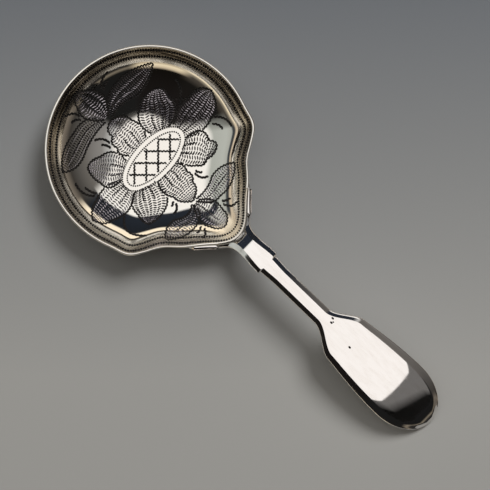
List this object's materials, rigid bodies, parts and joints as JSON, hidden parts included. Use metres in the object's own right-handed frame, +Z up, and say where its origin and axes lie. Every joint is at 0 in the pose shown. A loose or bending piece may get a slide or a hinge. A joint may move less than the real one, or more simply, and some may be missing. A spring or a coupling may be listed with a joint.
{
  "type": "caddy spoon",
  "caption": "Round shallow bowl with a pointed nose and a short fiddle-shaped handle soldered under its rim, for spooning tea leaves.",
  "frame": {"origin": "centre of the flat foot under the bowl, on the surface the spoon lies on", "axes": "+X along the handle towards its turned-down end, +Z up out of the bowl, +Y to the left seen along the handle from the bowl"},
  "size_m": [0.0989, 0.0416, 0.0095],
  "materials": {
    "bowl_silver": "polished sterling silver, slightly warm and worn, engraved inside with a flower and two dotted border lines",
    "handle_silver": "mirror-polished sterling silver with fine scratches and a few pits",
    "hard_solder": "silver solder, satin and a little tarnished"
  },
  "bodies": {
    "root": {"bowl": "bowl_silver", "handle": "handle_silver", "solder_seam": "hard_solder"}
  },
  "joints": []
}
